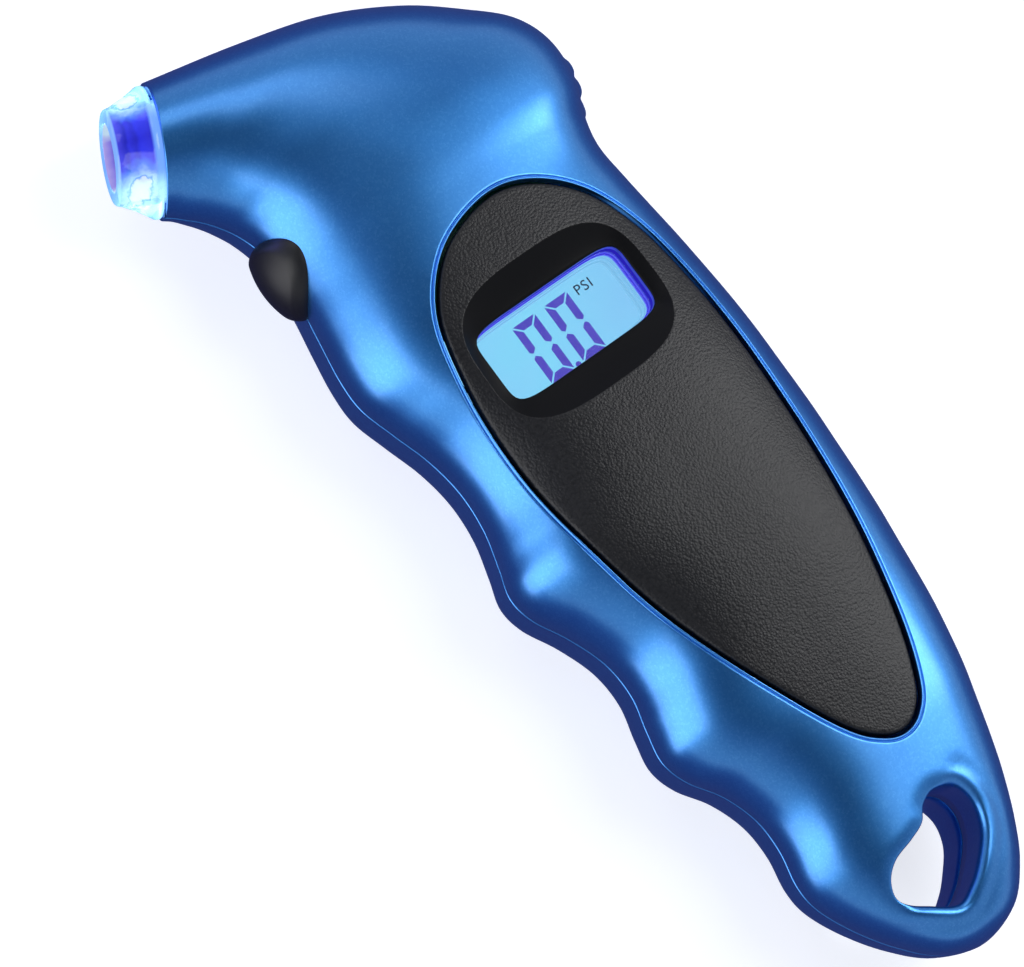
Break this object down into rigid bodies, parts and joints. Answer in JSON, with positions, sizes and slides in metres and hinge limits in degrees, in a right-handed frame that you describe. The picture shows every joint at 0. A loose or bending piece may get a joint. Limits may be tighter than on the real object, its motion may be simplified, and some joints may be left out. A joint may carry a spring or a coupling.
{
  "type": "digital tire pressure gauge",
  "caption": "Pistol-grip digital tire pressure gauge: painted two-half casing with finger grooves, egg-shaped face panel with a lit LCD, clear valve chuck, thumb button and lanyard hole.",
  "frame": {"origin": "under the middle of the object's box, on the plane it rests on", "axes": "+Y from the lanyard end to the head, +Z from the back to the face, the chuck points to -X and 25.5 degrees towards +Y"},
  "size_m": [0.065, 0.1664, 0.0313],
  "materials": {
    "metallic_blue_paint": "metallic lacquer over moulded ABS, satin gloss",
    "grained_black_abs": "fine leather grain, scoop smooth",
    "soft_touch_rubber": "soft-touch matt",
    "clear_polycarbonate": "clear moulded plastic",
    "lcd_glass": "lit blue LCD cell",
    "white_abs": "moulded white",
    "green_circuit_board": "solder mask over fibreglass",
    "plated_steel": "nickel plated",
    "brass": "drawn",
    "grey_silicone": "moulded silicone",
    "black_epoxy": "moulded glass-filled black"
  },
  "bodies": {
    "casing": {"front_shell": "metallic_blue_paint", "rear_shell": "metallic_blue_paint", "face_panel": "grained_black_abs", "display_lens": "clear_polycarbonate", "display_shroud": "white_abs", "lcd_glass": "lcd_glass", "backlight_block": "white_abs", "zebra_strip_1": "grey_silicone", "zebra_strip_2": "grey_silicone", "backlight_led": "white_abs", "main_board": "green_circuit_board", "controller_chip": "black_epoxy", "switch_body": "black_epoxy", "nozzle_body": "clear_polycarbonate", "nozzle_seal": "soft_touch_rubber", "depressor_pin": "brass", "nozzle_led_1": "clear_polycarbonate", "nozzle_led_2": "clear_polycarbonate", "sensor_oring": "soft_touch_rubber", "sensor_housing": "black_epoxy", "pressure_sensor": "plated_steel", "sensor_clamp": "plated_steel", "clamp_screw_1": "plated_steel", "clamp_screw_2": "plated_steel", "sensor_ribbon": "grey_silicone", "led_lead_1": "white_abs", "led_lead_2": "white_abs", "battery_tray": "white_abs", "coin_cell": "plated_steel", "coin_contact": "brass", "button_cell_1": "plated_steel", "button_cell_2": "plated_steel", "button_cell_3": "plated_steel", "cell_bus_plate": "brass", "battery_cover": "grained_black_abs", "cover_screw": "plated_steel", "shell_screw_1": "plated_steel", "shell_screw_2": "plated_steel", "shell_screw_3": "plated_steel", "shell_screw_4": "plated_steel", "shell_screw_5": "plated_steel", "board_screw_1": "plated_steel", "board_screw_2": "plated_steel", "board_screw_3": "plated_steel"},
    "button": {"power_button": "soft_touch_rubber"},
    "plunger": {"switch_plunger": "brass"}
  },
  "joints": [
    {"name": "power_button_press", "type": "slide", "parent": "casing", "child": "button", "axis": [1, 0, 0], "range_m": [0, 0.0008], "stiffness_N_per_m": 400},
    {"name": "switch_plunger_press", "type": "slide", "parent": "casing", "child": "plunger", "axis": [1, 0, 0], "range_m": [0, 0.0008]}
  ],
  "couplings": [
    {"joint": "switch_plunger_press", "follows": "power_button_press", "ratio": 1}
  ]
}
